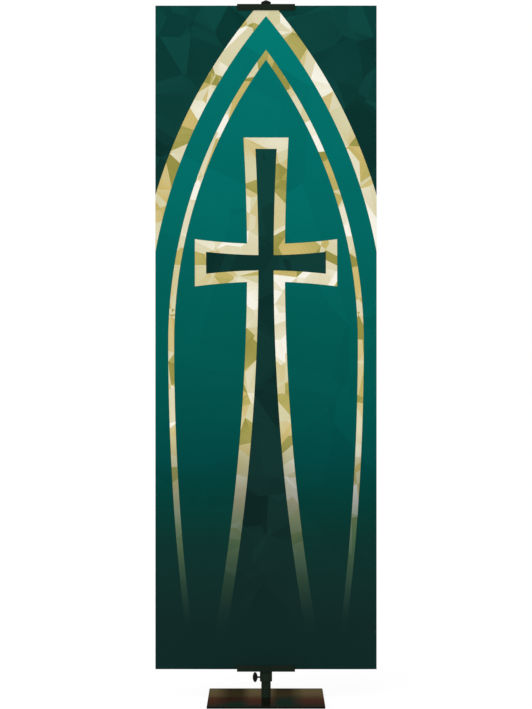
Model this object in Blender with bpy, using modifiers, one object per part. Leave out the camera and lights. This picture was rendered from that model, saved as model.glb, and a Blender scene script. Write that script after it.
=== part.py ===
"""A church banner on its floor stand: a flat hemmed cloth held by its top and bottom edges
between two short clamp bars, on a round pole that stands in a square plate.

Metres, +Z up. The origin is the centre of the plate's underside, on the pole's axis.
The cloth hangs in front of the pole, on the -Y side, and faces -Y.
"""

import math

import bmesh
import bpy
from mathutils import Matrix, Vector

# Space left between pieces that touch on the real thing
GAP = 0.0003
# How far a cutter runs past what it cuts
OVERRUN = 0.002

# Floor plate
PLATE_SIDE = 0.320
PLATE_THICK = 0.006
PLATE_CORNER = 0.003
PLATE_EASE = 0.0008

# Pole, a tube of about an inch
POLE_RADIUS = 0.0131
POLE_WALL = 0.0016
POLE_TOP = 1.9178
SPIGOT_RADIUS = POLE_RADIUS - POLE_WALL - GAP
FOOT_SPIGOT_LENGTH = 0.030

# Low pointed cap on the pole
CAP_RADIUS = 0.0135
CAP_BOTTOM = POLE_TOP + GAP
CAP_SHOULDER = 1.9282
CAP_TOP = 1.9335
CAP_EASE = 0.0009
CAP_TIP_RADIUS = 0.0014
CAP_TIP_DROP = 0.0003
CAP_SPIGOT_LENGTH = 0.015

# Cloth, two feet by six
CLOTH_WIDTH = 0.6096
CLOTH_HEIGHT = 1.8288
CLOTH_BOTTOM = 0.0865
CLOTH_TOP = CLOTH_BOTTOM + CLOTH_HEIGHT
CLOTH_THICK = 0.0015
HEM_THICK = 0.0024
SIDE_HEM = 0.012
END_HEM = 0.025

# Collar and sleeve round the pole
COLLAR_RADIUS = 0.0169
COLLAR_BORE = POLE_RADIUS + GAP
COLLAR_BOTTOM = 1.8738
COLLAR_TOP = 1.9138
SLEEVE_BOTTOM = 0.0505
SLEEVE_TOP = 0.1085

# Clamp bars: a slotted bar whose two lips lap over the cloth's edge
BAR_LENGTH = 0.160
BAR_HEIGHT = 0.0175
BAR_LIP = 0.0025
BAR_EASE = 0.0006
SLOT_WIDTH = HEM_THICK + 2 * GAP
BAR_DEPTH = SLOT_WIDTH + 2 * BAR_LIP
BAR_BACK = -(COLLAR_RADIUS + GAP)
BAR_FRONT = BAR_BACK - BAR_DEPTH
TOP_LAP = 0.0134
FOOT_LAP = 0.0110
CLOTH_FRONT = BAR_FRONT + BAR_LIP + GAP

# Saddle at the back of each bar, hollowed to fit round the collar or sleeve
SADDLE_WIDTH = 0.030
SADDLE_REACH = 0.0085
SADDLE_INSET = 0.0010

# Thumb screw on the left side of the sleeve
SCREW_HEIGHT = 0.0617
SHANK_RADIUS = 0.0025
SHANK_TIP = POLE_RADIUS + GAP
KNOB_INNER = 0.0234
KNOB_OUTER = 0.0367
KNOB_RADIUS = 0.0139
KNOB_RIM = 0.0024
KNOB_HUB_RADIUS = 0.0042
KNOB_TIP_RADIUS = 0.0030
KNOB_FLUTES = 12
FLUTE_RADIUS = 0.0016

# Steps round a full turn
POLE_STEPS = 48
SCREW_STEPS = 48
SHANK_HOLE_STEPS = 24
FLUTE_STEPS = 10
PLATE_CORNER_STEPS = 5
# Faces that meet at more than this keep a crisp edge between them
CORNER_ANGLE = math.radians(40)


def clear_scene():
    """Remove the objects that the file opened with."""
    for found in list(bpy.data.objects):
        bpy.data.objects.remove(found, do_unlink=True)


def new_collection(name):
    """Add a collection under the scene's own."""
    made = bpy.data.collections.new(name)
    bpy.context.scene.collection.children.link(made)
    return made


def finish(name, colour, roughness, metallic):
    """A Principled material of one colour."""
    made = bpy.data.materials.new(name)
    made.use_nodes = True
    shader = made.node_tree.nodes["Principled BSDF"]
    shader.inputs["Base Color"].default_value = (*colour, 1.0)
    shader.inputs["Roughness"].default_value = roughness
    shader.inputs["Metallic"].default_value = metallic
    return made


def object_from(mesh, name, collection, material):
    """Put a mesh in the scene as a named object."""
    made = bpy.data.objects.new(name, mesh)
    collection.objects.link(made)
    if material:
        mesh.materials.append(material)
    return made


def box(name, low, high, collection, material=None):
    """A box between two corners, modelled where it stands."""
    low = Vector(low)
    high = Vector(high)
    shape = bmesh.new()
    bmesh.ops.create_cube(shape, size=1.0)
    bmesh.ops.scale(shape, vec=high - low, verts=shape.verts)
    bmesh.ops.translate(shape, vec=(low + high) / 2, verts=shape.verts)
    mesh = bpy.data.meshes.new(name)
    shape.to_mesh(mesh)
    shape.free()
    return object_from(mesh, name, collection, material)


def turned(name, profile, closed, steps, collection, material=None):
    """Spin a profile of (radius, height) points about the object's own Z.

    The points run down the outer side. An open profile starts and ends on the axis.
    """
    points = [(radius, 0.0, height) for radius, height in profile]
    edges = [(index, index + 1) for index in range(len(points) - 1)]
    if closed:
        edges.append((len(points) - 1, 0))
    mesh = bpy.data.meshes.new(name)
    mesh.from_pydata(points, edges, [])
    made = object_from(mesh, name, collection, material)
    screw = made.modifiers.new("Turn", "SCREW")
    screw.axis = "Z"
    screw.steps = steps
    screw.render_steps = steps
    screw.use_merge_vertices = True
    screw.merge_threshold = 0.00001
    return settle(made)


def settle(made):
    """Keep the modified shape as the object's own mesh, smooth but for its corners."""
    shaped = made.evaluated_get(bpy.context.evaluated_depsgraph_get())
    mesh = bpy.data.meshes.new_from_object(shaped)
    mesh.shade_smooth()
    mesh.set_sharp_from_angle(angle=CORNER_ANGLE)
    outline = made.data
    made.modifiers.clear()
    made.data = mesh
    bpy.data.meshes.remove(outline)
    mesh.name = made.name
    return made


def tube(name, outer, inner, bottom, top, collection, material=None):
    """A plain length of tube, open at both ends."""
    wall = [(outer, top), (outer, bottom), (inner, bottom), (inner, top)]
    return turned(name, wall, True, POLE_STEPS, collection, material)


def rod(name, radius, bottom, top, steps, collection):
    """A solid round bar along the object's own Z."""
    side = [(0.0, top), (radius, top), (radius, bottom), (0.0, bottom)]
    return turned(name, side, False, steps, collection)


def as_cutter(made):
    """Mark an object as one that only cuts or joins others."""
    made.hide_render = True
    made.display_type = "WIRE"
    return made


def combine(target, other, operation):
    """Cut or join with an exact Boolean."""
    step = target.modifiers.new(other.name, "BOOLEAN")
    step.operation = operation
    step.solver = "EXACT"
    step.object = other


def ease_edges(made, width, segments=2):
    """Round the sharp edges."""
    bevel = made.modifiers.new("Ease", "BEVEL")
    bevel.width = width
    bevel.segments = segments
    bevel.limit_method = "ANGLE"
    bevel.angle_limit = CORNER_ANGLE


def build_base_plate(parts, cutters, material):
    """The square plate, its upright corners rounded, with the pole's spigot at its centre."""
    half = PLATE_SIDE / 2
    plate = box("base_plate", (-half, -half, 0.0), (half, half, PLATE_THICK), parts, material)
    shape = bmesh.new()
    shape.from_mesh(plate.data)
    upright = [edge for edge in shape.edges if edge.verts[0].co.z != edge.verts[1].co.z]
    bmesh.ops.bevel(
        shape,
        geom=upright,
        offset=PLATE_CORNER,
        segments=PLATE_CORNER_STEPS,
        profile=0.5,
        affect="EDGES",
        material=-1,
    )
    shape.to_mesh(plate.data)
    shape.free()
    ease_edges(plate, PLATE_EASE)
    spigot_top = PLATE_THICK + FOOT_SPIGOT_LENGTH
    spigot = rod("plate_spigot", SPIGOT_RADIUS, PLATE_THICK / 2, spigot_top, POLE_STEPS, cutters)
    combine(plate, as_cutter(spigot), "UNION")
    return plate


def build_pole(parts, material):
    """The tube, which stands on the plate over its spigot."""
    inner = POLE_RADIUS - POLE_WALL
    return tube("pole", POLE_RADIUS, inner, PLATE_THICK + GAP, POLE_TOP, parts, material)


def build_pole_cap(parts, material):
    """A cap with a low cone, a straight skirt and a spigot inside the tube."""
    profile = [
        (0.0, CAP_TOP),
        (CAP_TIP_RADIUS, CAP_TOP - CAP_TIP_DROP),
        (CAP_RADIUS - CAP_EASE, CAP_SHOULDER),
        (CAP_RADIUS, CAP_SHOULDER - CAP_EASE),
        (CAP_RADIUS, CAP_BOTTOM),
        (SPIGOT_RADIUS, CAP_BOTTOM),
        (SPIGOT_RADIUS, CAP_BOTTOM - CAP_SPIGOT_LENGTH),
        (0.0, CAP_BOTTOM - CAP_SPIGOT_LENGTH),
    ]
    return turned("pole_cap", profile, False, POLE_STEPS, parts, material)


def build_cloth(parts, cutters, material):
    """A flat sheet, thicker along its four edges where the hem is folded to the back."""
    half = CLOTH_WIDTH / 2
    hem_back = CLOTH_FRONT + HEM_THICK
    cloth = box(
        "banner_cloth", (-half, CLOTH_FRONT, CLOTH_BOTTOM), (half, hem_back, CLOTH_TOP), parts, material
    )
    inside = half - SIDE_HEM
    recess = box(
        "cloth_recess",
        (-inside, CLOTH_FRONT + CLOTH_THICK, CLOTH_BOTTOM + END_HEM),
        (inside, hem_back + OVERRUN, CLOTH_TOP - END_HEM),
        cutters,
    )
    combine(cloth, as_cutter(recess), "DIFFERENCE")
    return cloth


def build_clamp_bar(name, bottom, edge, opens_up, ring_bottom, ring_top, parts, cutters, material):
    """A bar slotted for the cloth's edge, with a saddle that hugs the ring behind it.

    edge is the height of the cloth's edge in the slot, and the ring is the collar or sleeve.
    """
    half = BAR_LENGTH / 2
    top = bottom + BAR_HEIGHT
    bar = box(name, (-half, BAR_FRONT, bottom), (half, BAR_BACK, top), parts, material)
    ease_edges(bar, BAR_EASE)

    saddle = box(
        name + "_saddle",
        (-SADDLE_WIDTH / 2, BAR_BACK - BAR_LIP / 2, max(bottom, ring_bottom) + SADDLE_INSET),
        (SADDLE_WIDTH / 2, -SADDLE_REACH, min(top, ring_top) - SADDLE_INSET),
        cutters,
    )
    combine(bar, as_cutter(saddle), "UNION")

    ring = rod(name + "_ring", COLLAR_RADIUS + GAP, bottom - OVERRUN, top + OVERRUN, POLE_STEPS, cutters)
    combine(bar, as_cutter(ring), "DIFFERENCE")

    if opens_up:
        slot_low = edge - GAP
        slot_high = top + OVERRUN
    else:
        slot_low = bottom - OVERRUN
        slot_high = edge + GAP
    slot = box(
        name + "_slot",
        (-half - OVERRUN, BAR_FRONT + BAR_LIP, slot_low),
        (half + OVERRUN, BAR_BACK - BAR_LIP, slot_high),
        cutters,
    )
    combine(bar, as_cutter(slot), "DIFFERENCE")
    return bar


def build_clamp_sleeve(parts, cutters, material):
    """The foot sleeve, drilled on its left side for the screw."""
    sleeve = tube("clamp_sleeve", COLLAR_RADIUS, COLLAR_BORE, SLEEVE_BOTTOM, SLEEVE_TOP, parts, material)
    hole_end = COLLAR_RADIUS + OVERRUN
    hole = rod("screw_hole", SHANK_RADIUS + GAP, POLE_RADIUS / 2, hole_end, SHANK_HOLE_STEPS, cutters)
    point_left(hole)
    combine(sleeve, as_cutter(hole), "DIFFERENCE")
    return sleeve


def point_left(made):
    """Lay an object's own Z along -X, on the screw's axis."""
    made.location = (0.0, 0.0, SCREW_HEIGHT)
    made.rotation_euler = (0.0, math.radians(-90), 0.0)


def build_thumb_screw(parts, cutters, material):
    """A lens-shaped knob with a fluted rim, on a plain shank; heights run out from the pole's axis."""
    middle = (KNOB_INNER + KNOB_OUTER) / 2
    profile = [
        (0.0, KNOB_OUTER),
        (KNOB_TIP_RADIUS, KNOB_OUTER),
        (KNOB_RADIUS, middle + KNOB_RIM / 2),
        (KNOB_RADIUS, middle - KNOB_RIM / 2),
        (KNOB_HUB_RADIUS, KNOB_INNER),
        (SHANK_RADIUS, KNOB_INNER),
        (SHANK_RADIUS, SHANK_TIP),
        (0.0, SHANK_TIP),
    ]
    screw = turned("thumb_screw", profile, False, SCREW_STEPS, parts, material)
    point_left(screw)

    flutes = bmesh.new()
    for index in range(KNOB_FLUTES):
        angle = 2 * math.pi * (index + 0.5) / KNOB_FLUTES
        place = Matrix.Translation((KNOB_RADIUS * math.cos(angle), KNOB_RADIUS * math.sin(angle), middle))
        bmesh.ops.create_cone(
            flutes,
            cap_ends=True,
            segments=FLUTE_STEPS,
            radius1=FLUTE_RADIUS,
            radius2=FLUTE_RADIUS,
            depth=KNOB_OUTER - KNOB_INNER,
            matrix=place,
        )
    mesh = bpy.data.meshes.new("knob_flutes")
    flutes.to_mesh(mesh)
    flutes.free()
    cutter = object_from(mesh, "knob_flutes", cutters, None)
    point_left(cutter)
    combine(screw, as_cutter(cutter), "DIFFERENCE")
    return screw


def main():
    clear_scene()
    parts = new_collection("church_banner")
    cutters = new_collection("cutters")

    cloth_finish = finish("banner_fabric", (0.0, 0.105, 0.088), 0.75, 0.0)
    coat = finish("powder_coat", (0.010, 0.016, 0.012), 0.45, 0.0)
    plate_finish = finish("plate_lacquer", (0.060, 0.042, 0.022), 0.35, 0.0)
    cap_finish = finish("cap_plastic", (0.012, 0.015, 0.012), 0.55, 0.0)
    screw_finish = finish("screw_metal", (0.014, 0.016, 0.014), 0.40, 0.0)

    build_base_plate(parts, cutters, plate_finish)
    build_pole(parts, coat)
    build_pole_cap(parts, cap_finish)
    build_cloth(parts, cutters, cloth_finish)
    tube("top_collar", COLLAR_RADIUS, COLLAR_BORE, COLLAR_BOTTOM, COLLAR_TOP, parts, coat)
    build_clamp_sleeve(parts, cutters, coat)
    build_clamp_bar(
        "top_clamp_bar",
        CLOTH_TOP - TOP_LAP,
        CLOTH_TOP,
        False,
        COLLAR_BOTTOM,
        COLLAR_TOP,
        parts,
        cutters,
        coat,
    )
    build_clamp_bar(
        "foot_clamp_bar",
        CLOTH_BOTTOM + FOOT_LAP - BAR_HEIGHT,
        CLOTH_BOTTOM,
        True,
        SLEEVE_BOTTOM,
        SLEEVE_TOP,
        parts,
        cutters,
        coat,
    )
    build_thumb_screw(parts, cutters, screw_finish)


main()
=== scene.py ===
"""The looks of a church banner on its floor stand.

The cloth is a hemmed sheet of dyed polyester held between two clamp bars. A pointed arch and a
flared cross are printed on it in folded gold. The stand is coated steel on a lacquered plate.
Metres, +Z up, and the front faces -Y.
"""

import math

import bmesh
import bpy
from mathutils import Matrix, Vector


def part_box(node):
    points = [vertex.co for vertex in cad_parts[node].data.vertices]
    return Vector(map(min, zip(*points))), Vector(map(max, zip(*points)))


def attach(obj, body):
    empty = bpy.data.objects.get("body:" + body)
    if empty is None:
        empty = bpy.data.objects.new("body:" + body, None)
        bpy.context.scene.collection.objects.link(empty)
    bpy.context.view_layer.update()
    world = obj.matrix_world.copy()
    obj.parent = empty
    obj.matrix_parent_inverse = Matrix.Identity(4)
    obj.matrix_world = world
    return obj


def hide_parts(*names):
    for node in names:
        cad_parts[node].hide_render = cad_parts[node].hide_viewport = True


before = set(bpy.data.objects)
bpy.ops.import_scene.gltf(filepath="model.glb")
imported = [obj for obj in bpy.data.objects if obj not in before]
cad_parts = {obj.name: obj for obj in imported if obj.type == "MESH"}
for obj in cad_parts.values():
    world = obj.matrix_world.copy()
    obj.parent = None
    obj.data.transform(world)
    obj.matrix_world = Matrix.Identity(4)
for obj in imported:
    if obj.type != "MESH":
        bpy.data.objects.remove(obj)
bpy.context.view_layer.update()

STAND = "stand"
SCREW_BODY = "clamp_screw"
GAP = 0.0003
HAIR = 0.00001
SPECK = 0.000001
FULL_TURN = 2 * math.pi
UP = Vector((0, 0, 1))
RIGHT = Vector((1, 0, 0))
AHEAD = Vector((0, -1, 0))

# Places and sizes taken from the frame
cloth_low, cloth_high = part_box("banner_cloth")
top_bar_low, top_bar_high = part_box("top_clamp_bar")
foot_bar_low, foot_bar_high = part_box("foot_clamp_bar")
pole_low, pole_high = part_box("pole")
cap_low, cap_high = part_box("pole_cap")
collar_low, collar_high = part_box("top_collar")
sleeve_low, sleeve_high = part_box("clamp_sleeve")
plate_low, plate_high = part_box("base_plate")
screw_low, screw_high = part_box("thumb_screw")

CLOTH_WIDTH = cloth_high.x - cloth_low.x
CLOTH_HEIGHT = cloth_high.z - cloth_low.z
CLOTH_FOOT = cloth_low.z
CLOTH_FACE = cloth_low.y
BAR_HALF = (top_bar_high.x - top_bar_low.x) / 2
PLATE_HALF = (plate_high.x - plate_low.x) / 2
POLE_RADIUS = (pole_high.x - pole_low.x) / 2
COLLAR_RADIUS = (collar_high.x - collar_low.x) / 2
CAP_RADIUS = (cap_high.x - cap_low.x) / 2
KNOB_RADIUS = (screw_high.z - screw_low.z) / 2
KNOB_OUTER = -screw_low.x

# Camera, level and straight in front of the cloth, a little above the picture's middle
CAMERA_DISTANCE = 6.3
CAMERA_HEIGHT = 1.005
CAMERA_LENS = 115.7
SENSOR = 36.0
PICTURE_MIDDLE = 0.9538

# Studio, with the light's angles in degrees; the ceiling starts and is full at these upward slants
WHITE = (1.0, 1.0, 1.0, 1.0)
SOFT_GLOW = 0.70
ROOM_GLOW = 0.12
CEILING_GLOW = 0.55
CEILING_START = 0.2
CEILING_FULL = 0.9
KEY_STRENGTH = 0.8
KEY_SPREAD = 50
KEY_TILT = 52
KEY_TURN = -28
FLOOR_REACH = 30.0
FLOOR_TONE = (0.20, 0.20, 0.20, 1.0)
FLOOR_GLOW = 0.86

# Soft noise keeps near its middle, so its range is taken from between these
CLOUD_LOW = 0.3
CLOUD_HIGH = 0.7
TONE_LOW = 0.25
TONE_HIGH = 0.75

# Cloth
CLOTH_THICK = 0.0005
CELL = 0.0075
FOLD_STEPS = 6
SIDE_HEM = 0.012
END_HEM = 0.025
SIDE_FOLD_RADIUS = 0.00035
END_FOLD_RADIUS = 0.00105
WEAVE_PITCH = 0.0011
WEAVE_RELIEF = 0.00012
FIBRE_GRAIN = 900.0

# Ripples across the hanging cloth and a slow swell down it, which die away towards the bars
RIPPLE_HEIGHT = 0.0011
RIPPLE_SHARE = 0.65
RIPPLE_LENGTH = 0.31
SWAY = 0.9
SWAY_LENGTH = 1.3
SWELL_SHARE = 0.35
SWELL_LENGTH = 0.93
SWELL_LEAN = 3
HELD_BESIDE = 0.12
HELD_BELOW = 0.35

# Stitches along the hems
STITCH_LENGTH = 0.0031
STITCH_PITCH = 0.0042
STITCH_WIDTH = 0.00042
STITCH_RISE = 0.00044
SIDE_SEAM = 0.0100
END_SEAM = 0.0225

# Stand
POLE_WALL = 0.0016
COLLAR_BORE = POLE_RADIUS + GAP
TURN_STEPS = 96
END_EASE = 0.0005
CAP_RISE = 0.0053
CAP_TIP = 0.0012
CAP_EASE = 0.0009
CAP_STEPS = 12
CAP_CROWDING = 1.6
GROOVE_DROP = 0.0020
GROOVE_SLOPE = 0.0004
GROOVE_FLOOR = 0.0006
GROOVE_DEPTH = 0.0004
WELD_RADIUS = 0.0015
WELD_SIDES = 10
WELD_SWELL = 1.25
WELD_RIDGE = 0.0014
WELD_INSET = 0.0014
WELD_BACK = top_bar_high.y
WELD_SIDE = math.sqrt(COLLAR_RADIUS**2 - WELD_BACK**2)

# Plate's lacquer, with painted shade on the sides below the eased top edge
PLATE_THICK = 0.006
EDGE_DROP = 0.0005
EDGE_EASE = 0.0001
SIDE_SHADE_STRENGTH = 0.16
DEPTH_WANDER = 0.010
CALM_SHARE = 0.5

# Dark pools of painted reflection on the plate, one on each side of the pole, deeper towards the back
POOL_LEFT = 0.084
POOL_RIGHT = 0.049
POOL_HALF = 0.016
POOL_OUTER = 0.041
POOL_INNER = 0.025
POOL_LEAN = 0.6
POOL_START = -0.080
POOL_FULL = 0.040
POOL_DEEPENS = -0.12
POOL_SHALLOW = 0.34
POOL_DEEP = 0.64

# Painted reflection of the pole, a clearer strip ahead of it, with its half widths in pole radii
CLEAR_SHARE = 0.6
CLEAR_INNER = 0.8
CLEAR_OUTER = 1.1

# Thumb screw, along its own axis from the pole's middle
KNOB_INNER = 0.0234
KNOB_FACE = 0.0046
DISH_DEPTH = 0.0005
DISH_SLOPE = 0.0004
DISH_RIM = 0.0003
KNOB_HUB = 0.0046
HUB_STEP = 0.0002
HUB_EASE = 0.0004
KNOB_STEPS = 20
KNOB_FLUTES = 12
FLUTE_DEPTH = 0.0011
FLUTE_START = 0.0095
SHANK_RADIUS = 0.0025
THREAD_RIDGE = 0.0008
THREAD_DEPTH = 0.0003
THREAD_END = 0.0006

# Print, in metres across from the cloth's middle and up from its foot
ARCH_SPRING = 0.90
ARCH_CENTRE = 1.0738
ARCH_RADIUS = 1.401
ARCH_BAND = 0.036
LINE_RADIUS = 1.335
LINE_BAND = 0.016
LINE_LEG = 0.45
CROSS_HEIGHT = 1.12
CROSS_UP = 0.345
CROSS_DOWN = 1.16
CROSS_ARM = 0.196
CROSS_HALF = 0.052
POST_FLARE = 0.085
ARM_FLARE = 0.34
CROSS_BAND = 0.031
FADE_LOW = 0.08
FADE_HIGH = 0.66
FADE_POWER = 2.5
FADE_GREENING = 0.35
GREENING_SHARE = 0.8
CALM_LOW = 0.10
CALM_HIGH = 0.60

# Facets of folded foil, so many to a metre, and the corner that each pattern starts from
GROUND_FACETS = 3.2
GROUND_CORNER = (9.2, 0.0, 1.3)
DARK_FACETS = 8.0
DARK_CORNER = (5.6, 0.0, 2.9)
GOLD_FACETS = 9.5
GOLD_CORNER = (3.1, 0.0, 7.7)
GOLD_LOW = 0.16
GOLD_HIGH = 0.84
NEAR_SHARE = 0.55
FAR_SHARE = 0.45
FACET_MIDDLE = 0.4
FACET_SLOPE = 0.55
STREAK_SCALE = 330.0
STREAK_STRETCH = 0.04
STREAK_TONE = 0.04


def shade(red, green, blue):
    """A colour from the 0 to 255 numbers of a colour card."""
    def linear(number):
        part = number / 255
        if part <= 0.04045:
            return part / 12.92
        return ((part + 0.055) / 1.055) ** 2.4

    return (linear(red), linear(green), linear(blue), 1.0)


GROUND_DYES = [
    (0.070, shade(16, 42, 39)),
    (0.135, shade(15, 47, 43)),
    (0.195, shade(11, 52, 46)),
    (0.255, shade(3, 61, 55)),
    (0.315, shade(0, 71, 67)),
    (0.435, shade(0, 85, 78)),
    (0.587, shade(0, 94, 88)),
    (0.783, shade(0, 107, 101)),
    (1.000, shade(0, 118, 110)),
]
DARK_DYES = [
    (0.10, shade(16, 42, 39)),
    (0.40, shade(14, 47, 43)),
    (0.72, shade(12, 54, 49)),
    (1.00, shade(9, 62, 57)),
]
GOLD_TONES = [
    (0.00, shade(148, 142, 68)),
    (0.14, shade(173, 165, 92)),
    (0.30, shade(204, 182, 112)),
    (0.52, shade(210, 204, 163)),
    (0.76, shade(220, 212, 178)),
    (0.90, shade(233, 229, 205)),
    (1.00, shade(244, 241, 228)),
]
FADED_GOLD = shade(169, 237, 169)
BACK_DYE = shade(20, 74, 68)
BACK_SHARE = 0.45
# Painted reflections on the plate, green at its front edge, redder in the middle and golden at its back
PAINTED_REFLECTION_TONES = [
    (0.00, shade(107, 146, 134)),
    (0.04, shade(148, 143, 131)),
    (0.10, shade(168, 147, 133)),
    (0.23, shade(191, 145, 130)),
    (0.38, shade(199, 153, 136)),
    (0.47, shade(204, 173, 139)),
    (0.57, shade(230, 208, 169)),
    (0.80, shade(245, 228, 177)),
    (1.00, shade(240, 224, 192)),
]
# Painted dark reflection in the pools
REFLECTED_POOL_TONE = shade(103, 148, 135)
CALM_BRONZE = shade(178, 148, 118)
# Painted reflection of the pole
POLE_REFLECTION_TONE = shade(232, 248, 240)


class Amount:
    """A number that nodes work out, so that a recipe reads as a formula."""

    def __init__(self, finish, socket):
        self.finish = finish
        self.socket = socket

    def __add__(self, other):
        return self.finish.maths("ADD", self, other)

    def __sub__(self, other):
        return self.finish.maths("SUBTRACT", self, other)

    def __rsub__(self, other):
        return self.finish.maths("SUBTRACT", other, self)

    def __mul__(self, other):
        return self.finish.maths("MULTIPLY", self, other)

    def __truediv__(self, other):
        return self.finish.maths("DIVIDE", self, other)

    def __pow__(self, other):
        return self.finish.maths("POWER", self, other)

    def __abs__(self):
        return self.finish.maths("ABSOLUTE", self)

    def above(self, limit):
        """One where it is over the limit, and nothing elsewhere."""
        return self.finish.maths("GREATER_THAN", self, limit)

    def under(self, limit):
        """One where it is below the limit, and nothing elsewhere."""
        return self.finish.maths("LESS_THAN", self, limit)


class Finish:
    """One material, with short ways to add its nodes."""

    def __init__(self, name):
        self.material = bpy.data.materials.new(name)
        self.material.use_nodes = True
        self.tree = self.material.node_tree
        self.shader = self.tree.nodes["Principled BSDF"]
        self.place = self.add("TexCoord").outputs["Object"]

    def add(self, kind, **settings):
        """A shader node with some of its settings."""
        made = self.tree.nodes.new("ShaderNode" + kind)
        for key, value in settings.items():
            setattr(made, key, value)
        return made

    def feed(self, socket, value):
        """Link a value that nodes make to a socket, or set a plain one."""
        if isinstance(value, Amount):
            value = value.socket
        if isinstance(value, bpy.types.NodeSocket):
            self.tree.links.new(value, socket)
        else:
            socket.default_value = value

    def maths(self, operation, *values):
        """One sum."""
        made = self.add("Math", operation=operation)
        for socket, value in zip(made.inputs, values):
            self.feed(socket, value)
        return Amount(self, made.outputs[0])

    def least(self, first, second):
        """The smaller of two."""
        return self.maths("MINIMUM", first, second)

    def most(self, first, second):
        """The larger of two."""
        return self.maths("MAXIMUM", first, second)

    def along(self, axis):
        """The X, Y or Z of the place on the piece."""
        made = self.add("SeparateXYZ")
        self.feed(made.inputs[0], self.place)
        return Amount(self, made.outputs[axis])

    def spread(self, vector, scale=(1.0, 1.0, 1.0), shift=(0.0, 0.0, 0.0)):
        """A vector scaled and shifted, to stretch or move a pattern."""
        made = self.add("Mapping")
        made.inputs["Scale"].default_value = scale
        made.inputs["Location"].default_value = shift
        self.feed(made.inputs["Vector"], vector)
        return made.outputs[0]

    def between(self, value, low, high, out_low=0.0, out_high=1.0):
        """A value moved from one range to another, and held inside it."""
        made = self.add("MapRange", clamp=True)
        for socket, item in zip(made.inputs, (value, low, high, out_low, out_high)):
            self.feed(socket, item)
        return Amount(self, made.outputs[0])

    def clouds(self, vector, scale, detail=3.0):
        """Soft random patches from 0 to 1, a scale of them to the metre."""
        made = self.add("TexNoise")
        self.feed(made.inputs["Vector"], vector)
        made.inputs["Scale"].default_value = scale
        made.inputs["Detail"].default_value = detail
        return Amount(self, made.outputs["Fac"])

    def patchy(self, clouds, low, high):
        """Clouds spread over a range."""
        return self.between(clouds, CLOUD_LOW, CLOUD_HIGH, low, high)

    def cells(self, vector, scale, nearest="F1"):
        """Random numbers, one set for each cell, and the distance to the cell's middle."""
        made = self.add("TexVoronoi", feature=nearest)
        self.feed(made.inputs["Vector"], vector)
        made.inputs["Scale"].default_value = scale
        split = self.add("SeparateColor")
        self.feed(split.inputs[0], made.outputs["Color"])
        numbers = [Amount(self, output) for output in split.outputs]
        return numbers, Amount(self, made.outputs["Distance"])

    def tones(self, value, stops):
        """A colour read from a list of places and colours."""
        made = self.add("ValToRGB")
        elements = made.color_ramp.elements
        while len(elements) < len(stops):
            elements.new(1.0)
        for element, (position, colour) in zip(elements, stops):
            element.position = position
            element.color = colour
        self.feed(made.inputs[0], value)
        return made.outputs["Color"]

    def over(self, first, second, share):
        """The second colour laid over the first."""
        made = self.add("Mix", data_type="RGBA")
        self.feed(made.inputs[0], share)
        self.feed(made.inputs[6], first)
        self.feed(made.inputs[7], second)
        return made.outputs[2]

    def dim(self, colour, strength):
        """A colour multiplied by a strength."""
        made = self.add("VectorMath", operation="SCALE")
        plain = isinstance(colour, tuple)
        self.feed(made.inputs[0], colour[:3] if plain else colour)
        self.feed(made.inputs["Scale"], strength)
        return made.outputs[0]

    def vary(self, colour, value, low, high):
        """A colour made darker and lighter by a value from 0 to 1."""
        return self.dim(colour, self.between(value, TONE_LOW, TONE_HIGH, low, high))

    def bump(self, height, strength, distance):
        """Fine relief that only the shading shows."""
        made = self.add("Bump")
        made.inputs["Strength"].default_value = strength
        made.inputs["Distance"].default_value = distance
        self.feed(made.inputs["Height"], height)
        self.feed(self.shader.inputs["Normal"], made.outputs[0])

    def set(self, **values):
        """Set or link the shader's sockets, named with _ for a space."""
        for name, value in values.items():
            self.feed(self.shader.inputs[name.replace("_", " ")], value)


# Print on the cloth

def arch_edge(across, up, radius, leg):
    """How far a point lies outside a pointed arch. Its legs curve in again by their share."""
    rise = up - ARCH_SPRING
    below = rise.under(0.0)
    height = rise * (below * (leg - 1.0) + 1.0)
    side = abs(across) + ARCH_CENTRE
    return (side * side + height * height) ** 0.5 - radius


def cross_edge(finish, across, up):
    """How far a point lies outside a cross whose arms widen towards their ends."""
    side = abs(across)
    rise = up - CROSS_HEIGHT
    height = abs(rise)
    post_side = side - (rise * rise * POST_FLARE + CROSS_HALF)
    post_end = finish.most(rise - CROSS_UP, -CROSS_DOWN - rise)
    arm_side = height - (side * side * ARM_FLARE + CROSS_HALF)
    arm_end = side - CROSS_ARM
    return finish.least(finish.most(post_side, post_end), finish.most(arm_side, arm_end))


def stripe(edge, middle, width):
    """One on a band beside an edge, and nothing elsewhere."""
    return abs(edge - middle).under(width / 2)


def foil_facets(finish, spot, scale):
    """Flat facets like those of folded foil, each a tone from 0 to 1 that shades off a little.

    With it come the random numbers of the two nearest facets.
    """
    near, distance = finish.cells(spot, scale)
    far, _ = finish.cells(spot, scale, "F2")
    tone = near[0] * NEAR_SHARE + far[1] * FAR_SHARE
    slope = (distance - FACET_MIDDLE) * (far[2] - 0.5)
    return tone + slope * FACET_SLOPE, near, far


def foil_streaks(finish, spot, near, far):
    """Fine streaks that run another way on each facet."""
    turn = finish.add("VectorRotate", rotation_type="Y_AXIS")
    finish.feed(turn.inputs["Vector"], spot)
    finish.feed(turn.inputs["Angle"], (near[2] + far[0]) * math.pi)
    return finish.clouds(finish.spread(turn.outputs[0], (1.0, 1.0, STREAK_STRETCH)), STREAK_SCALE, 2.0)


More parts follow.
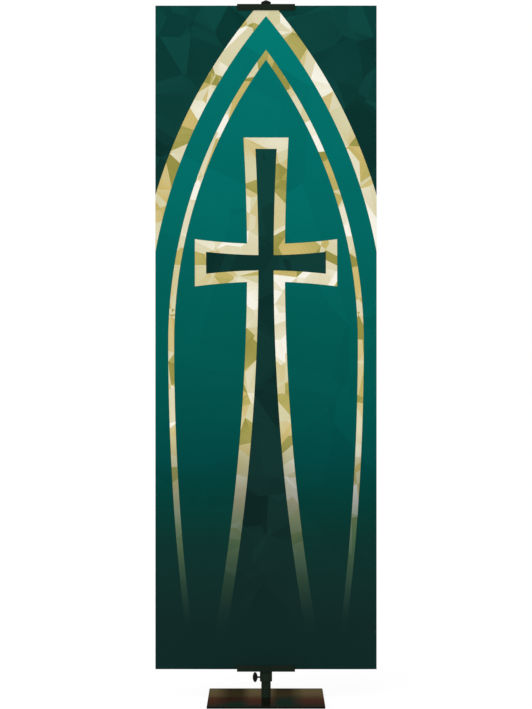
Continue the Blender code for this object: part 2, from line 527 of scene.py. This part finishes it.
def printed_colour(finish):
    """Ground, arch, thin line and cross, with the gold fading out towards the foot."""
    across = finish.along("X")
    up = finish.along("Z") - CLOTH_FOOT
    height = up / CLOTH_HEIGHT
    flat = finish.spread(finish.place, (1.0, 0.0, 1.0))

    lively = finish.between(up, CALM_LOW, CALM_HIGH)
    sheen, _, _ = foil_facets(finish, finish.spread(flat, shift=GROUND_CORNER), GROUND_FACETS)
    ground = finish.vary(finish.tones(height, GROUND_DYES), (sheen - 0.5) * lively + 0.5, 0.93, 1.07)
    crumple, _, _ = foil_facets(finish, finish.spread(flat, shift=DARK_CORNER), DARK_FACETS)
    dark = finish.vary(finish.tones(height, DARK_DYES), (crumple - 0.5) * lively + 0.5, 0.76, 1.30)
    foil = finish.spread(flat, shift=GOLD_CORNER)
    facet, near, far = foil_facets(finish, foil, GOLD_FACETS)
    streaks = finish.patchy(foil_streaks(finish, foil, near, far), -STREAK_TONE, STREAK_TONE)
    tone = finish.between(facet, GOLD_LOW, GOLD_HIGH) + streaks
    gold = finish.tones(tone, GOLD_TONES)

    arch = arch_edge(across, up, ARCH_RADIUS, 0.0)
    line = arch_edge(across, up, LINE_RADIUS, LINE_LEG)
    cross = cross_edge(finish, across, up)
    shaded = finish.most(arch.above(0.0), cross.under(0.0))
    gilt = finish.most(stripe(arch, ARCH_BAND / 2, ARCH_BAND), stripe(cross, -CROSS_BAND / 2, CROSS_BAND))
    gilt = finish.most(gilt, stripe(line, 0.0, LINE_BAND))
    fade = finish.between(up, FADE_LOW, FADE_HIGH) ** FADE_POWER
    greening = finish.between(fade, 0.0, FADE_GREENING, GREENING_SHARE, 0.0)
    faded = finish.over(gold, FADED_GOLD, greening)
    return finish.over(finish.over(ground, dark, shaded), faded, gilt * fade)


def weave(finish):
    """The over and under of a plain weave."""
    warp = finish.maths("SINE", finish.along("X") * (FULL_TURN / WEAVE_PITCH))
    weft = finish.maths("SINE", finish.along("Z") * (FULL_TURN / WEAVE_PITCH))
    return warp * weft


def make_print():
    """The printed face of the cloth."""
    finish = Finish("printed_polyester")
    grain = finish.clouds(finish.place, FIBRE_GRAIN, 2.0)
    finish.set(
        Base_Color=finish.vary(printed_colour(finish), grain, 0.98, 1.02),
        Roughness=finish.patchy(grain, 0.8, 0.9),
        Specular_IOR_Level=0.03,
    )
    finish.bump(weave(finish), 0.2, WEAVE_RELIEF)
    return finish.material


def make_show_through():
    """The back of the cloth, where the print shows through softly."""
    finish = Finish("polyester_back")
    grain = finish.clouds(finish.place, FIBRE_GRAIN, 2.0)
    dulled = finish.over(printed_colour(finish), BACK_DYE, BACK_SHARE)
    finish.set(
        Base_Color=finish.vary(dulled, grain, 0.96, 1.04),
        Roughness=finish.patchy(grain, 0.82, 0.92),
        Specular_IOR_Level=0.05,
    )
    finish.bump(weave(finish), 0.3, WEAVE_RELIEF)
    return finish.material


def make_thread():
    """Twisted sewing thread, which took the dye of the print around it."""
    finish = Finish("hem_thread")
    twist = finish.clouds(finish.place, 2600.0, 2.0)
    finish.set(
        Base_Color=finish.vary(printed_colour(finish), twist, 0.78, 1.08),
        Roughness=finish.patchy(twist, 0.6, 0.75),
        Specular_IOR_Level=0.15,
    )
    finish.bump(twist, 0.4, 0.0001)
    return finish.material


# Finishes of the stand

def make_coat(name, tone):
    """Green-black powder coat with a fine pebble."""
    finish = Finish(name)
    patches = finish.clouds(finish.place, 14.0, 4.0)
    pebble = finish.clouds(finish.place, 1500.0, 2.0)
    finish.set(
        Base_Color=finish.vary(tone, patches, 0.88, 1.12),
        Roughness=finish.patchy(patches, 0.42, 0.55),
        Specular_IOR_Level=0.12,
    )
    finish.bump(pebble, 0.18, 0.0002)
    return finish.material


def make_moulding():
    """Moulded black plastic."""
    finish = Finish("cap_mould")
    patches = finish.clouds(finish.place, 60.0)
    grain = finish.clouds(finish.place, 2400.0, 2.0)
    finish.set(
        Base_Color=finish.vary(shade(25, 31, 26), patches, 0.85, 1.15),
        Roughness=finish.patchy(patches, 0.5, 0.62),
        Specular_IOR_Level=0.15,
    )
    finish.bump(grain, 0.12, 0.0001)
    return finish.material


def make_blacking():
    """Blackened steel, rubbed brighter in patches."""
    finish = Finish("screw_blacking")
    rubbed = finish.clouds(finish.place, 140.0, 4.0)
    finish.set(
        Base_Color=finish.vary(shade(38, 43, 38), rubbed, 0.5, 1.6),
        Roughness=finish.patchy(rubbed, 0.5, 0.34),
        Metallic=0.5,
        Specular_IOR_Level=0.2,
    )
    finish.bump(rubbed, 0.1, 0.0002)
    return finish.material


def make_bronze_with_painted_reflections():
    """Polished bronze lacquer with painted reflections, golden behind, redder ahead and green along its
    front edge.

    Two dark painted reflections lie beside the pole, and a clearer strip ahead of it is a painted
    reflection of the pole. Painted shade dims the sides below the top edge. The colours are strongest
    where the plate is seen edge on.
    """
    finish = Finish("plate_bronze_painted_reflections")
    patches = finish.clouds(finish.spread(finish.place, (1.0, 2.2, 1.0)), 7.0)
    grain = finish.clouds(finish.place, 700.0)
    across = finish.along("X")
    depth = finish.along("Y") + finish.patchy(patches, -DEPTH_WANDER, DEPTH_WANDER)
    # Painted reflections, by depth across the plate
    bronze = finish.tones(finish.between(depth, -PLATE_HALF, PLATE_HALF), PAINTED_REFLECTION_TONES)

    # Painted dark reflections beside the pole, green towards the front and darker towards the back
    middle = across.above(0.0) * (POOL_RIGHT - POOL_LEFT) + POOL_LEFT
    past = abs(across) - middle
    reflected_pool = finish.least(
        finish.between(past, POOL_HALF, POOL_HALF + POOL_OUTER, 1.0, 0.0),
        finish.between(past, -POOL_HALF - POOL_INNER, -POOL_HALF),
    )
    behind = finish.between(depth - across * POOL_LEAN, POOL_START, POOL_FULL)
    shadow = reflected_pool * behind * finish.between(depth, POOL_DEEPENS, PLATE_HALF, POOL_SHALLOW, POOL_DEEP)
    # Painted shade on the plate's sides below the eased top edge
    edge_low = PLATE_THICK - EDGE_DROP
    edge_high = PLATE_THICK - EDGE_EASE
    rim = finish.between(finish.along("Z"), edge_low, edge_high, SIDE_SHADE_STRENGTH, 1.0)
    strength = finish.patchy(grain, 0.92, 1.08) * rim * (1.0 - shadow)
    painted = finish.over(bronze, REFLECTED_POOL_TONE, reflected_pool * (1.0 - behind))

    # Painted reflection of the pole, a clearer strip ahead of it in the edge tint
    strip = finish.between(abs(across), POLE_RADIUS * CLEAR_INNER, POLE_RADIUS * CLEAR_OUTER, 1.0, 0.0)
    clear = strip * finish.between(depth, -POLE_RADIUS, 0.0, CLEAR_SHARE, 0.0)
    # The painted reflections and shade are in both colours, half blended with the plate's own calm bronze
    # in the base colour
    finish.set(
        Base_Color=finish.dim(finish.over(painted, CALM_BRONZE, CALM_SHARE), strength),
        Specular_Tint=finish.dim(finish.over(painted, POLE_REFLECTION_TONE, clear), strength),
        Metallic=1.0,
        Roughness=finish.patchy(patches, 0.10, 0.16),
    )
    finish.bump(grain, 0.03, 0.0002)
    return finish.material


# Shapes

def piece_from(shape, name, materials, body):
    """Turn a bmesh into a named piece that rides on a body."""
    mesh = bpy.data.meshes.new(name)
    shape.to_mesh(mesh)
    shape.free()
    made = bpy.data.objects.new(name, mesh)
    bpy.context.scene.collection.objects.link(made)
    for material in materials:
        mesh.materials.append(material)
    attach(made, body)
    return made


def shaped_mesh(made):
    """The mesh of an object with its modifiers worked in."""
    return bpy.data.meshes.new_from_object(made.evaluated_get(bpy.context.evaluated_depsgraph_get()))


def settle(made):
    """Work an object's modifiers into its mesh."""
    mesh = shaped_mesh(made)
    old = made.data
    made.modifiers.clear()
    made.data = mesh
    bpy.data.meshes.remove(old)


def smooth_sides(made, angle=35):
    """Smooth shading with crisp corners."""
    made.data.shade_smooth()
    made.data.set_sharp_from_angle(angle=math.radians(angle))


def turned(profile, closed):
    """A shape turned about Z from points of radius and height."""
    shape = bmesh.new()
    verts = [shape.verts.new((radius, 0.0, height)) for radius, height in profile]
    edges = [shape.edges.new(pair) for pair in zip(verts, verts[1:])]
    if closed:
        edges.append(shape.edges.new((verts[-1], verts[0])))
    bmesh.ops.spin(
        shape,
        geom=verts + edges,
        cent=(0.0, 0.0, 0.0),
        axis=UP,
        angle=FULL_TURN,
        steps=TURN_STEPS,
        use_merge=True,
    )
    bmesh.ops.remove_doubles(shape, verts=shape.verts, dist=SPECK)
    bmesh.ops.recalc_face_normals(shape, faces=shape.faces)
    return shape


def grow(shape, edges):
    """Extrude edges, and give the new points and the new outer edges."""
    grown = bmesh.ops.extrude_edge_only(shape, edges=edges)["geom"]
    points = [item for item in grown if isinstance(item, bmesh.types.BMVert)]
    added = [item for item in grown if isinstance(item, bmesh.types.BMEdge)]
    return points, [edge for edge in added if set(points).issuperset(edge.verts)]


def bend(start, corner, end):
    """Four points on a curve that leans towards a corner."""
    shares = (0.0, 1 / 3, 2 / 3, 1.0)
    return [start.lerp(corner, share).lerp(corner.lerp(end, share), share) for share in shares]


def eased(corners, ease):
    """A closed outline with a curve of three short edges at each corner."""
    points = []
    for index, corner in enumerate(corners):
        here = Vector(corner)
        before = (Vector(corners[index - 1]) - here).normalized()
        after = (Vector(corners[(index + 1) % len(corners)]) - here).normalized()
        points += bend(here + before * ease, here, here + after * ease)
    return points


def soft_step(share):
    """From 0 to 1 with both ends eased."""
    share = min(max(share, 0.0), 1.0)
    return share * share * (3 - 2 * share)


def ripple(x, z):
    """How far the free cloth stands off its plane, nothing where the bars hold it."""
    from_end = min(cloth_high.z - z, z - cloth_low.z)
    free = max(soft_step((abs(x) - BAR_HALF) / HELD_BESIDE), soft_step(from_end / HELD_BELOW))
    sway = SWAY * math.sin(FULL_TURN * z / SWAY_LENGTH)
    wave = math.sin(FULL_TURN * x / RIPPLE_LENGTH + sway)
    swell = math.cos(FULL_TURN * z / SWELL_LENGTH + SWELL_LEAN * x)
    return RIPPLE_HEIGHT * free * (RIPPLE_SHARE * wave + SWELL_SHARE * swell)


def open_edges(shape, axis, value):
    """The open edges that lie at a value along an axis."""
    return [
        edge
        for edge in shape.edges
        if edge.is_boundary and all(abs(vert.co[axis] - value) < HAIR for vert in edge.verts)
    ]


def fold_hem(shape, edges, centre, axis, inward):
    """Turn open edges over to the back about a line, then run them inwards as a flap."""
    verts = list(dict.fromkeys(vert for edge in edges for vert in edge.verts))
    bent = bmesh.ops.spin(
        shape, geom=verts + edges, cent=centre, axis=axis, angle=math.pi, steps=FOLD_STEPS
    )
    last = [item for item in bent["geom_last"] if isinstance(item, bmesh.types.BMEdge)]
    for _ in range(2):
        moved, last = grow(shape, last)
        bmesh.ops.translate(shape, verts=moved, vec=Vector(inward) / 2)


def make_cloth(print_finish, back_finish):
    """One sheet, its sides folded to the back first and then its ends."""
    half = CLOTH_WIDTH / 2 - SIDE_FOLD_RADIUS - CLOTH_THICK / 2
    low = cloth_low.z + END_FOLD_RADIUS + CLOTH_THICK / 2
    high = cloth_high.z - END_FOLD_RADIUS - CLOTH_THICK / 2
    middle = CLOTH_FACE + CLOTH_THICK / 2
    shape = bmesh.new()
    bmesh.ops.create_grid(
        shape, x_segments=round(2 * half / CELL), y_segments=round((high - low) / CELL), size=0.5
    )
    bmesh.ops.scale(shape, verts=shape.verts, vec=(2 * half, high - low, 1.0))
    upright = Matrix.Rotation(math.pi / 2, 3, "X")
    bmesh.ops.rotate(shape, verts=shape.verts, cent=(0, 0, 0), matrix=upright)
    bmesh.ops.translate(shape, verts=shape.verts, vec=(0.0, middle, (low + high) / 2))

    side_line = middle + SIDE_FOLD_RADIUS
    end_line = middle + END_FOLD_RADIUS
    fold_hem(shape, open_edges(shape, 0, -half), (-half, side_line, 0), -UP, RIGHT * SIDE_HEM)
    fold_hem(shape, open_edges(shape, 0, half), (half, side_line, 0), UP, -RIGHT * SIDE_HEM)
    fold_hem(shape, open_edges(shape, 2, high), (0, end_line, high), -RIGHT, -UP * END_HEM)
    fold_hem(shape, open_edges(shape, 2, low), (0, end_line, low), RIGHT, UP * END_HEM)
    for vert in shape.verts:
        vert.co.y += ripple(vert.co.x, vert.co.z)
    bmesh.ops.recalc_face_normals(shape, faces=shape.faces)
    centre = Vector((0.0, middle, (low + high) / 2))
    central = min(shape.faces, key=lambda face: (face.calc_center_median() - centre).length)
    if central.normal.y > 0:
        bmesh.ops.reverse_faces(shape, faces=shape.faces)

    cloth = piece_from(shape, "cloth_sheet", [print_finish, back_finish], STAND)
    thickness = cloth.modifiers.new("Thickness", "SOLIDIFY")
    thickness.thickness = CLOTH_THICK
    thickness.offset = 0.0
    thickness.material_offset = 1
    thickness.use_even_offset = True
    settle(cloth)
    smooth_sides(cloth, angle=60)
    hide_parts("banner_cloth")
    return cloth


def seam_mesh(start, along, out, length):
    """A row of short stitches, each a thread that dips into the cloth at both ends."""
    shape = bmesh.new()
    bmesh.ops.create_uvsphere(shape, u_segments=6, v_segments=4, radius=0.5)
    turn = Matrix((along.cross(out) * STITCH_WIDTH, out * STITCH_RISE, along * STITCH_LENGTH))
    bmesh.ops.transform(shape, matrix=turn.transposed().to_4x4(), verts=shape.verts)
    bmesh.ops.translate(shape, verts=shape.verts, vec=start + along * STITCH_PITCH / 2)
    mesh = bpy.data.meshes.new("seam")
    shape.to_mesh(mesh)
    shape.free()
    row = bpy.data.objects.new("seam", mesh)
    bpy.context.scene.collection.objects.link(row)
    repeat = row.modifiers.new("Row", "ARRAY")
    repeat.use_relative_offset = False
    repeat.use_constant_offset = True
    repeat.constant_offset_displace = along * STITCH_PITCH
    repeat.count = int(length / STITCH_PITCH)
    sewn = shaped_mesh(row)
    bpy.data.objects.remove(row)
    return sewn


def hem_back(fold_radius):
    """Where the outer face of a hem's flap lies."""
    return CLOTH_FACE + 2 * fold_radius + CLOTH_THICK


def make_stitching(thread):
    """Stitches along all four hems, on the front and on the back."""
    half = CLOTH_WIDTH / 2 - SIDE_SEAM
    low = cloth_low.z + END_SEAM
    high = cloth_high.z - END_SEAM
    shape = bmesh.new()
    for out, face in ((AHEAD, CLOTH_FACE), (-AHEAD, hem_back(SIDE_FOLD_RADIUS))):
        for x in (-half, half):
            shape.from_mesh(seam_mesh(Vector((x, face, low)), UP, out, high - low))
    for out, face in ((AHEAD, CLOTH_FACE), (-AHEAD, hem_back(END_FOLD_RADIUS))):
        for z in (low, high):
            shape.from_mesh(seam_mesh(Vector((-half, face, z)), RIGHT, out, 2 * half))
    for vert in shape.verts:
        vert.co.y += ripple(vert.co.x, vert.co.z)
    bmesh.ops.recalc_face_normals(shape, faces=shape.faces)
    stitching = piece_from(shape, "hem_stitching", [thread], STAND)
    smooth_sides(stitching, angle=80)
    return stitching


def make_tube(name, node, radius, bore, low, high, coat):
    """A length of tube with its ends eased."""
    wall = eased([(radius, high), (radius, low), (bore, low), (bore, high)], END_EASE)
    made = piece_from(turned(wall, True), name, [coat], STAND)
    smooth_sides(made)
    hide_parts(node)


def make_cap(moulding):
    """A low cone with its point rounded, on a grooved skirt over the tube's end, and a spigot inside."""
    cone_end = CAP_RADIUS - CAP_EASE
    cone_foot = cap_high.z - CAP_RISE
    slope = CAP_RISE / (math.hypot(cone_end, CAP_TIP) - CAP_TIP)
    profile = []
    for step in range(CAP_STEPS):
        radius = cone_end * (step / CAP_STEPS) ** CAP_CROWDING
        profile.append((radius, cap_high.z - slope * (math.hypot(radius, CAP_TIP) - CAP_TIP)))
    shoulder = cone_foot - CAP_EASE
    profile += bend(
        Vector((cone_end, cone_foot)),
        Vector((CAP_RADIUS, cone_foot - slope * CAP_EASE)),
        Vector((CAP_RADIUS, shoulder)),
    )
    groove = shoulder - GROOVE_DROP
    lip = pole_high.z + GAP
    spigot = POLE_RADIUS - POLE_WALL - GAP
    profile += [
        (CAP_RADIUS, groove),
        (CAP_RADIUS - GROOVE_DEPTH, groove - GROOVE_SLOPE),
        (CAP_RADIUS - GROOVE_DEPTH, groove - GROOVE_SLOPE - GROOVE_FLOOR),
        (CAP_RADIUS, groove - 2 * GROOVE_SLOPE - GROOVE_FLOOR),
        (CAP_RADIUS, lip + END_EASE),
        (CAP_RADIUS - END_EASE, lip),
        (spigot, lip),
        (spigot, cap_low.z + 2 * END_EASE),
        (spigot - 2 * END_EASE, cap_low.z),
        (0.0, cap_low.z),
    ]
    made = piece_from(turned(profile, False), "pointed_cap", [moulding], STAND)
    smooth_sides(made)
    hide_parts("pole_cap")


def thread_profile(start, end):
    """Points down a threaded shank, a ridge at a time."""
    root = SHANK_RADIUS - THREAD_DEPTH
    ridge = ((0.1, root), (0.4, SHANK_RADIUS), (0.6, SHANK_RADIUS), (0.9, root))
    points = []
    for count in range(int((start - end) / THREAD_RIDGE)):
        place = start - count * THREAD_RIDGE
        points += [(radius, place - THREAD_RIDGE * share) for share, radius in ridge]
    return points


def flute(shape):
    """Press grip flutes into the knob's rim."""
    for vert in shape.verts:
        reach = math.hypot(vert.co.x, vert.co.y)
        if reach < FLUTE_START:
            continue
        grip = (reach - FLUTE_START) / (KNOB_RADIUS - FLUTE_START)
        angle = math.atan2(vert.co.y, vert.co.x)
        bite = FLUTE_DEPTH * grip * max(0.0, -math.cos(KNOB_FLUTES * angle))
        vert.co.x *= 1 - bite / reach
        vert.co.y *= 1 - bite / reach


def make_knob(blacking):
    """An oval knob with a fluted rim on a threaded shank that meets the pole."""
    middle = (KNOB_INNER + KNOB_OUTER) / 2
    tip = POLE_RADIUS + GAP
    dish = KNOB_OUTER - DISH_DEPTH
    profile = [(0.0, dish), (KNOB_FACE - DISH_SLOPE, dish), (KNOB_FACE, KNOB_OUTER)]
    first = math.asin((KNOB_FACE + DISH_RIM) / KNOB_RADIUS)
    last = math.pi - math.asin(KNOB_HUB / KNOB_RADIUS)
    for step in range(KNOB_STEPS + 1):
        angle = first + (last - first) * step / KNOB_STEPS
        profile.append((KNOB_RADIUS * math.sin(angle), middle + (KNOB_OUTER - middle) * math.cos(angle)))
    profile += [(KNOB_HUB, KNOB_INNER + HUB_STEP), (KNOB_HUB - HUB_EASE, KNOB_INNER)]
    profile += thread_profile(KNOB_INNER, tip + THREAD_END)
    profile += [(SHANK_RADIUS - 2 * THREAD_DEPTH, tip), (0.0, tip)]
    shape = turned(profile, False)
    flute(shape)
    sideways = Matrix.Rotation(-math.pi / 2, 3, "Y")
    bmesh.ops.rotate(shape, verts=shape.verts, cent=(0, 0, 0), matrix=sideways)
    height = (screw_low.z + screw_high.z) / 2
    bmesh.ops.translate(shape, verts=shape.verts, vec=UP * height)
    made = piece_from(shape, "knob_and_shank", [blacking], SCREW_BODY)
    smooth_sides(made)
    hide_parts("thumb_screw")


def add_weld(shape, x, low, high):
    """A rippled bead laid up the corner where a bar's saddle meets its ring."""
    thin = WELD_RADIUS / WELD_SWELL
    ring = bmesh.ops.create_circle(shape, cap_ends=True, segments=WELD_SIDES, radius=thin)["verts"]
    bmesh.ops.translate(shape, verts=ring, vec=(x, WELD_BACK, low))
    edges = list(dict.fromkeys(edge for vert in ring for edge in vert.link_edges))
    steps = round((high - low) / (WELD_RIDGE / 2))
    centre = Matrix.Translation((-x, -WELD_BACK, 0.0))
    for step in range(steps):
        moved, edges = grow(shape, edges)
        size = WELD_SWELL if step % 2 == 0 else 1 / WELD_SWELL
        bmesh.ops.scale(shape, verts=moved, vec=(size, size, 1.0), space=centre)
        bmesh.ops.translate(shape, verts=moved, vec=UP * (high - low) / steps)
    bmesh.ops.edgeloop_fill(shape, edges=edges)


def make_welds(coat):
    """The four beads that join the bars' saddles to the rings."""
    shape = bmesh.new()
    for x in (-WELD_SIDE, WELD_SIDE):
        add_weld(shape, x, top_bar_low.z + WELD_INSET, collar_high.z - WELD_INSET)
        add_weld(shape, x, foot_bar_low.z + WELD_INSET, foot_bar_high.z - WELD_INSET)
    bmesh.ops.recalc_face_normals(shape, faces=shape.faces)
    made = piece_from(shape, "saddle_welds", [coat], STAND)
    smooth_sides(made, angle=80)


def dress(node, finish):
    """Give a piece of the frame its finish."""
    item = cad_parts[node]
    item.data.materials.clear()
    item.data.materials.append(finish)


# Studio

def make_floor():
    """A wide white floor."""
    shape = bmesh.new()
    bmesh.ops.create_grid(shape, x_segments=2, y_segments=2, size=FLOOR_REACH)
    mesh = bpy.data.meshes.new("studio_floor")
    shape.to_mesh(mesh)
    shape.free()
    floor = bpy.data.objects.new("studio_floor", mesh)
    bpy.context.scene.collection.objects.link(floor)
    finish = Finish("studio_white")
    finish.set(
        Base_Color=FLOOR_TONE,
        Roughness=0.9,
        Specular_IOR_Level=0.0,
        Emission_Color=WHITE,
        Emission_Strength=FLOOR_GLOW,
    )
    mesh.materials.append(finish.material)
    floor.visible_glossy = False


def make_world():
    """White to the camera, soft white as light, and in reflections a dim room under a bright ceiling."""
    world = bpy.data.worlds.new("studio")
    bpy.context.scene.world = world
    world.use_nodes = True
    tree = world.node_tree
    tree.nodes.clear()
    rays = tree.nodes.new("ShaderNodeLightPath")
    output = tree.nodes.new("ShaderNodeOutputWorld")
    direction = tree.nodes.new("ShaderNodeTexCoord")
    split = tree.nodes.new("ShaderNodeSeparateXYZ")
    ceiling = tree.nodes.new("ShaderNodeMapRange")
    tree.links.new(direction.outputs["Generated"], split.inputs[0])
    tree.links.new(split.outputs["Z"], ceiling.inputs["Value"])
    ceiling.inputs["From Min"].default_value = CEILING_START
    ceiling.inputs["From Max"].default_value = CEILING_FULL
    ceiling.inputs["To Min"].default_value = ROOM_GLOW
    ceiling.inputs["To Max"].default_value = CEILING_GLOW

    def glow(strength):
        made = tree.nodes.new("ShaderNodeBackground")
        made.inputs["Color"].default_value = WHITE
        made.inputs["Strength"].default_value = strength
        return made.outputs[0]

    def choose(ray, otherwise, chosen):
        made = tree.nodes.new("ShaderNodeMixShader")
        tree.links.new(rays.outputs[ray], made.inputs[0])
        tree.links.new(otherwise, made.inputs[1])
        tree.links.new(chosen, made.inputs[2])
        return made.outputs[0]

    mirrored = glow(1.0)
    tree.links.new(ceiling.outputs[0], mirrored.node.inputs["Strength"])
    soft = choose("Is Glossy Ray", glow(SOFT_GLOW), mirrored)
    tree.links.new(choose("Is Camera Ray", soft, glow(1.0)), output.inputs["Surface"])


def make_light():
    """One wide soft light, high on the left in front."""
    lamp = bpy.data.lights.new("key", "SUN")
    lamp.energy = KEY_STRENGTH
    lamp.angle = math.radians(KEY_SPREAD)
    key = bpy.data.objects.new("key", lamp)
    bpy.context.scene.collection.objects.link(key)
    key.rotation_euler = (math.radians(KEY_TILT), 0.0, math.radians(KEY_TURN))
    key.visible_glossy = False


def make_camera():
    """A long lens, level, shifted to take in the foot."""
    lens = bpy.data.cameras.new("camera")
    lens.lens = CAMERA_LENS
    slant = (PICTURE_MIDDLE - CAMERA_HEIGHT) / (CAMERA_DISTANCE + CLOTH_FACE)
    lens.shift_y = slant * CAMERA_LENS / SENSOR
    camera = bpy.data.objects.new("camera", lens)
    bpy.context.scene.collection.objects.link(camera)
    camera.location = (0.0, -CAMERA_DISTANCE, CAMERA_HEIGHT)
    camera.rotation_euler = (math.pi / 2, 0.0, 0.0)
    bpy.context.scene.camera = camera


def main():
    bpy.context.scene.view_settings.view_transform = "Standard"
    make_camera()
    make_world()
    make_light()
    make_floor()

    # Two copies of one powder coat: painted shade makes the bars' darker and painted light makes the
    # tubes' lighter, to offset how the light falls on them
    bar_coat_painted_darker = make_coat("bar_coat_painted_darker", shade(23, 36, 27))
    coat = make_coat("tube_coat_painted_lighter", shade(31, 46, 35))
    dress("top_clamp_bar", bar_coat_painted_darker)
    dress("foot_clamp_bar", bar_coat_painted_darker)
    dress("base_plate", make_bronze_with_painted_reflections())
    make_tube("pole_tube", "pole", POLE_RADIUS, POLE_RADIUS - POLE_WALL, pole_low.z, pole_high.z, coat)
    make_tube("head_collar", "top_collar", COLLAR_RADIUS, COLLAR_BORE, collar_low.z, collar_high.z, coat)
    make_tube("foot_sleeve", "clamp_sleeve", COLLAR_RADIUS, COLLAR_BORE, sleeve_low.z, sleeve_high.z, coat)
    make_welds(coat)
    make_cap(make_moulding())
    make_knob(make_blacking())

    cloth = make_cloth(make_print(), make_show_through())
    stitching = make_stitching(make_thread())


main()
